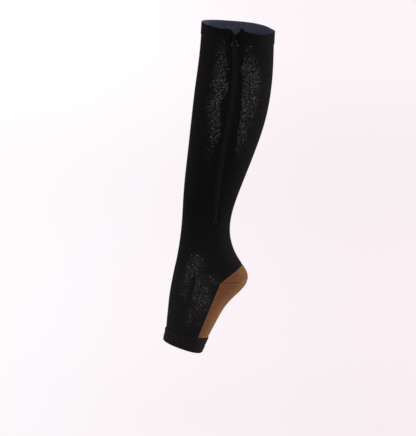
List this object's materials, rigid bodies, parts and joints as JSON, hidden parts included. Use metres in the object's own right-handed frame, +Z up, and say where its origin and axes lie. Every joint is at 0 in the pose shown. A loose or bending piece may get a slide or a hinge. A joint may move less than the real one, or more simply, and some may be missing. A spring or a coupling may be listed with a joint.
{
  "type": "open-toe zip compression stocking",
  "caption": "Knee-high compression stocking, worn and hollow: black knit tube with a double top band, a side zip, a copper-coloured heel and sole, and a folded cuff round the open toe.",
  "frame": {"origin": "centre of the top opening, where the wearer's leg goes in", "axes": "+Z up; the shin and toes face -X and the calf and heel +X; the zip runs down the -Y side, and the leg leans so that the foot is towards -X"},
  "size_m": [0.1624, 0.1102, 0.4835],
  "materials": {
    "black_knit": "matt black compression knit of nylon and elastane",
    "copper_knit": "matt copper-brown knit, slightly heathered",
    "zip_tape": "black woven polyester tape",
    "zip_chain": "black nylon coil",
    "black_metal": "black painted zinc, satin"
  },
  "bodies": {
    "stocking": {"welt": "black_knit", "leg": "black_knit", "toe_cuff": "black_knit", "heel_top": "copper_knit", "heel_base": "copper_knit", "sole": "copper_knit", "zip_tape_front": "zip_tape", "zip_tape_back": "zip_tape", "zip_chain_front": "zip_chain", "zip_chain_back": "zip_chain", "zip_slider": "black_metal", "zip_bottom_stop": "black_metal"},
    "pull": {"zip_pull": "black_metal"}
  },
  "joints": [
    {"name": "pull_swing", "type": "hinge", "parent": "stocking", "child": "pull", "pos_m": [-0.00545, -0.05499, -0.0121], "axis": [-0.994, 0.109, -0.0019], "range_deg": [0, 165]}
  ]
}
